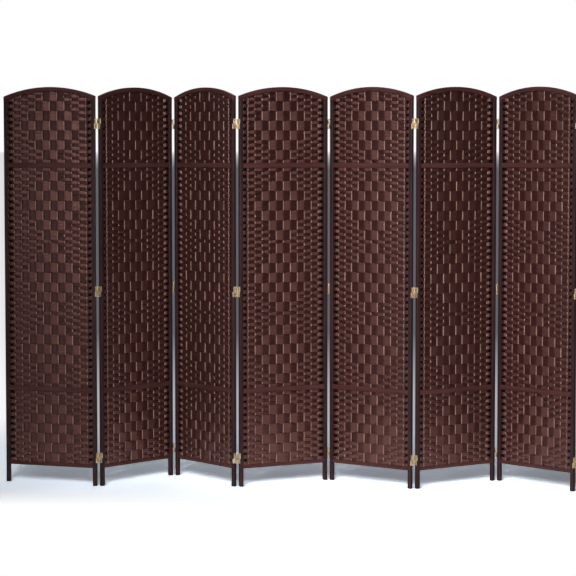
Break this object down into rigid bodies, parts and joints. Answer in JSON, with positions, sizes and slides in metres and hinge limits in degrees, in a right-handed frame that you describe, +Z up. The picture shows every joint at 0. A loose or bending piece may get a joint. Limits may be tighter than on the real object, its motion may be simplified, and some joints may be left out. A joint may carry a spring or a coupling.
{
  "type": "folding screen",
  "caption": "Free-standing folding screen of arched wooden panels filled with dark woven fibre, joined by double-acting hinges so that it stands in a zigzag or folds flat",
  "frame": {"origin": "on the floor, in the middle of the standing screen's length and depth", "axes": "+X along the screen to the right as seen from the front, +Y from the front to the back, +Z up"},
  "size_m": [2.8952, 0.517, 1.78],
  "materials": {
    "stained_wood": "dark brown stain, satin",
    "pale_stick_wood": "bare, matte",
    "woven_paper_cord": "dark brown twisted cord with a slight sheen",
    "hinge_brass": "bright, polished"
  },
  "bodies": {
    "panel_1": {"panel_1_stiles": "stained_wood", "panel_1_rails": "stained_wood", "panel_1_sticks": "pale_stick_wood", "panel_1_laths": "stained_wood", "panel_1_weave": "woven_paper_cord", "panel_1_hinge_leaves": "hinge_brass", "panel_1_hinge_links": "hinge_brass"},
    "panel_2": {"panel_2_stiles": "stained_wood", "panel_2_rails": "stained_wood", "panel_2_sticks": "pale_stick_wood", "panel_2_laths": "stained_wood", "panel_2_weave": "woven_paper_cord", "panel_2_hinge_leaves": "hinge_brass", "panel_2_hinge_links": "hinge_brass"},
    "panel_3": {"panel_3_stiles": "stained_wood", "panel_3_rails": "stained_wood", "panel_3_sticks": "pale_stick_wood", "panel_3_laths": "stained_wood", "panel_3_weave": "woven_paper_cord", "panel_3_hinge_leaves": "hinge_brass", "panel_3_hinge_links": "hinge_brass"},
    "panel_4": {"panel_4_stiles": "stained_wood", "panel_4_rails": "stained_wood", "panel_4_sticks": "pale_stick_wood", "panel_4_laths": "stained_wood", "panel_4_weave": "woven_paper_cord", "panel_4_hinge_leaves": "hinge_brass", "panel_4_hinge_links": "hinge_brass"},
    "panel_5": {"panel_5_stiles": "stained_wood", "panel_5_rails": "stained_wood", "panel_5_sticks": "pale_stick_wood", "panel_5_laths": "stained_wood", "panel_5_weave": "woven_paper_cord", "panel_5_hinge_leaves": "hinge_brass", "panel_5_hinge_links": "hinge_brass"},
    "panel_6": {"panel_6_stiles": "stained_wood", "panel_6_rails": "stained_wood", "panel_6_sticks": "pale_stick_wood", "panel_6_laths": "stained_wood", "panel_6_weave": "woven_paper_cord", "panel_6_hinge_leaves": "hinge_brass", "panel_6_hinge_links": "hinge_brass"},
    "panel_7": {"panel_7_stiles": "stained_wood", "panel_7_rails": "stained_wood", "panel_7_sticks": "pale_stick_wood", "panel_7_laths": "stained_wood", "panel_7_weave": "woven_paper_cord", "panel_7_hinge_leaves": "hinge_brass", "panel_7_hinge_links": "hinge_brass"},
    "panel_8": {"panel_8_stiles": "stained_wood", "panel_8_rails": "stained_wood", "panel_8_sticks": "pale_stick_wood", "panel_8_laths": "stained_wood", "panel_8_weave": "woven_paper_cord", "panel_8_hinge_leaves": "hinge_brass", "panel_8_hinge_links": "hinge_brass"}
  },
  "joints": [
    {"name": "fold_3_4", "type": "hinge", "parent": "panel_4", "child": "panel_3", "pos_m": [-0.3952, -0.0986, 0.8695], "axis": [0, 0, -1], "range_deg": [-79.8, 100.2]},
    {"name": "fold_2_3", "type": "hinge", "parent": "panel_3", "child": "panel_2", "pos_m": [-0.6958, 0.2398, 0.8695], "axis": [0, 0, 1], "range_deg": [-99.1, 80.9]},
    {"name": "fold_1_2", "type": "hinge", "parent": "panel_2", "child": "panel_1", "pos_m": [-1.0176, -0.0785, 0.8695], "axis": [0, 0, -1], "range_deg": [-67.4, 112.6]},
    {"name": "fold_4_5", "type": "hinge", "parent": "panel_4", "child": "panel_5", "pos_m": [0.01372, 0.09545, 0.8695], "axis": [0, 0, -1], "range_deg": [-65.7, 114.3]},
    {"name": "fold_5_6", "type": "hinge", "parent": "panel_5", "child": "panel_6", "pos_m": [0.38769, -0.15953, 0.8695], "axis": [0, 0, 1], "range_deg": [-71.7, 108.3]},
    {"name": "fold_6_7", "type": "hinge", "parent": "panel_6", "child": "panel_7", "pos_m": [0.77409, 0.0762, 0.8695], "axis": [0, 0, -1], "range_deg": [-81.4, 98.6]},
    {"name": "fold_7_8", "type": "hinge", "parent": "panel_7", "child": "panel_8", "pos_m": [1.09976, -0.23814, 0.8695], "axis": [0, 0, 1], "range_deg": [-89, 91]}
  ]
}
